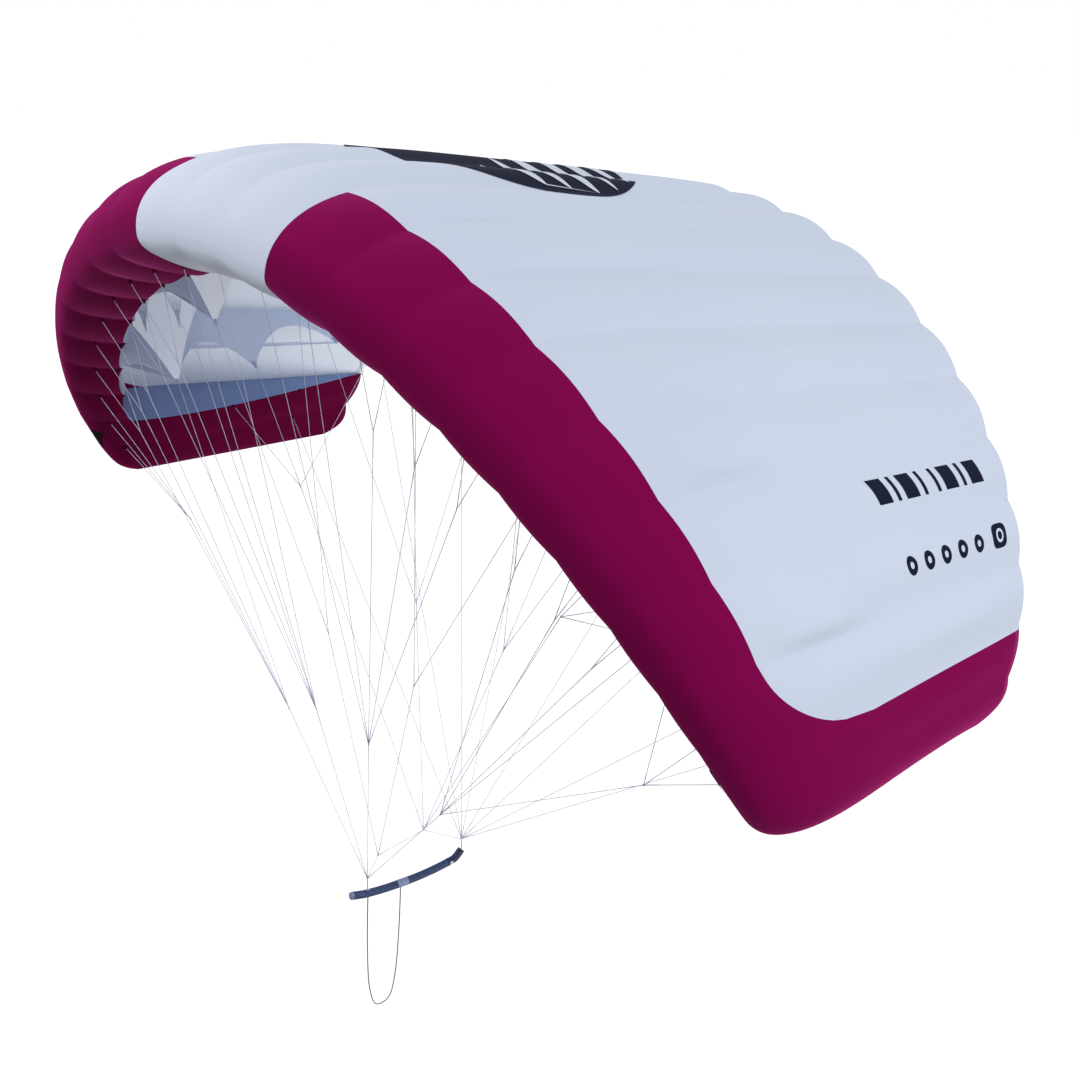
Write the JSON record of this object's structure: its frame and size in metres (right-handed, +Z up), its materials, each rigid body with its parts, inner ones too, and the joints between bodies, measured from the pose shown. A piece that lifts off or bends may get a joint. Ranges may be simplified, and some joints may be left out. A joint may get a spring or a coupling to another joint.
{
  "type": "kite",
  "caption": "Single-skin foil kite with a ribbed nose pocket, closed tip pockets, a cascaded bridle and a curved fore-and-aft bar with a harness loop.",
  "frame": {"origin": "middle of the hub sleeve on the control bar, where the hand or harness holds the kite in flight", "axes": "+X across the span towards the left tip, +Y rearwards from the nose to the trailing edge, +Z up"},
  "size_m": [2.816, 1.5108, 2.2806],
  "materials": {
    "canopy_white": "soft sheen",
    "canopy_magenta": "soft sheen",
    "pocket_wall": "matte",
    "rib_cloth": "matte",
    "web_cloth": "matte",
    "webbing": "matte",
    "bridle_line": "matte",
    "leader_line": "matte",
    "bar_metal": "satin",
    "grip_foam": "textured",
    "tip_rubber": "matte",
    "hub_plastic": "satin",
    "ferrule_steel": "satin",
    "eyelet_plastic": "matte",
    "loop_rope": "matte"
  },
  "bodies": {
    "wing": {"nose_centre": "canopy_white", "skin_centre": "canopy_white", "nose_inner_left": "canopy_magenta", "nose_outer_left": "canopy_magenta", "skin_inner_left": "canopy_white", "skin_outer_left": "canopy_white", "tip_pocket_left": "canopy_magenta", "diagonal_webs_left": "web_cloth", "line_tabs_left": "webbing", "a_lines_left": "bridle_line", "b_lines_left": "bridle_line", "c_lines_left": "bridle_line", "brake_lines_left": "bridle_line", "nose_inner_right": "canopy_magenta", "nose_outer_right": "canopy_magenta", "skin_inner_right": "canopy_white", "skin_outer_right": "canopy_white", "tip_pocket_right": "canopy_magenta", "diagonal_webs_right": "web_cloth", "line_tabs_right": "webbing", "a_lines_right": "bridle_line", "b_lines_right": "bridle_line", "c_lines_right": "bridle_line", "brake_lines_right": "bridle_line", "rib_1_left": "rib_cloth", "rib_2_left": "rib_cloth", "rib_3_left": "rib_cloth", "rib_4_left": "rib_cloth", "rib_5_left": "rib_cloth", "rib_6_left": "rib_cloth", "rib_7_left": "rib_cloth", "rib_8_left": "rib_cloth", "rib_9_left": "rib_cloth", "rib_10_left": "pocket_wall", "rib_11_left": "pocket_wall", "rib_1_right": "rib_cloth", "rib_2_right": "rib_cloth", "rib_3_right": "rib_cloth", "rib_4_right": "rib_cloth", "rib_5_right": "rib_cloth", "rib_6_right": "rib_cloth", "rib_7_right": "rib_cloth", "rib_8_right": "rib_cloth", "rib_9_right": "rib_cloth", "rib_10_right": "pocket_wall", "rib_11_right": "pocket_wall", "spine_line": "bridle_line"},
    "leaders": {"front_leader": "leader_line", "rear_leader": "leader_line"},
    "bar": {"bar_tube": "bar_metal", "grip_front": "grip_foam", "grip_rear": "grip_foam", "tip_sleeve": "tip_rubber", "hub_sleeve": "hub_plastic", "plug_front": "hub_plastic", "plug_rear": "tip_rubber", "front_ferrule": "ferrule_steel", "side_eyelet": "eyelet_plastic", "harness_loop": "loop_rope"}
  },
  "joints": [
    {"name": "bar_swing", "type": "hinge", "parent": "wing", "child": "leaders", "pos_m": [0, -0.10847, 0.05499], "axis": [0, 0.9998, 0.0197], "range_deg": [-60, 60]},
    {"name": "bar_sheet", "type": "hinge", "parent": "leaders", "child": "bar", "pos_m": [0, -0.10847, 0.02124], "axis": [1, 0, 0], "range_deg": [0, 5], "deforming": ["rear_leader"]}
  ]
}
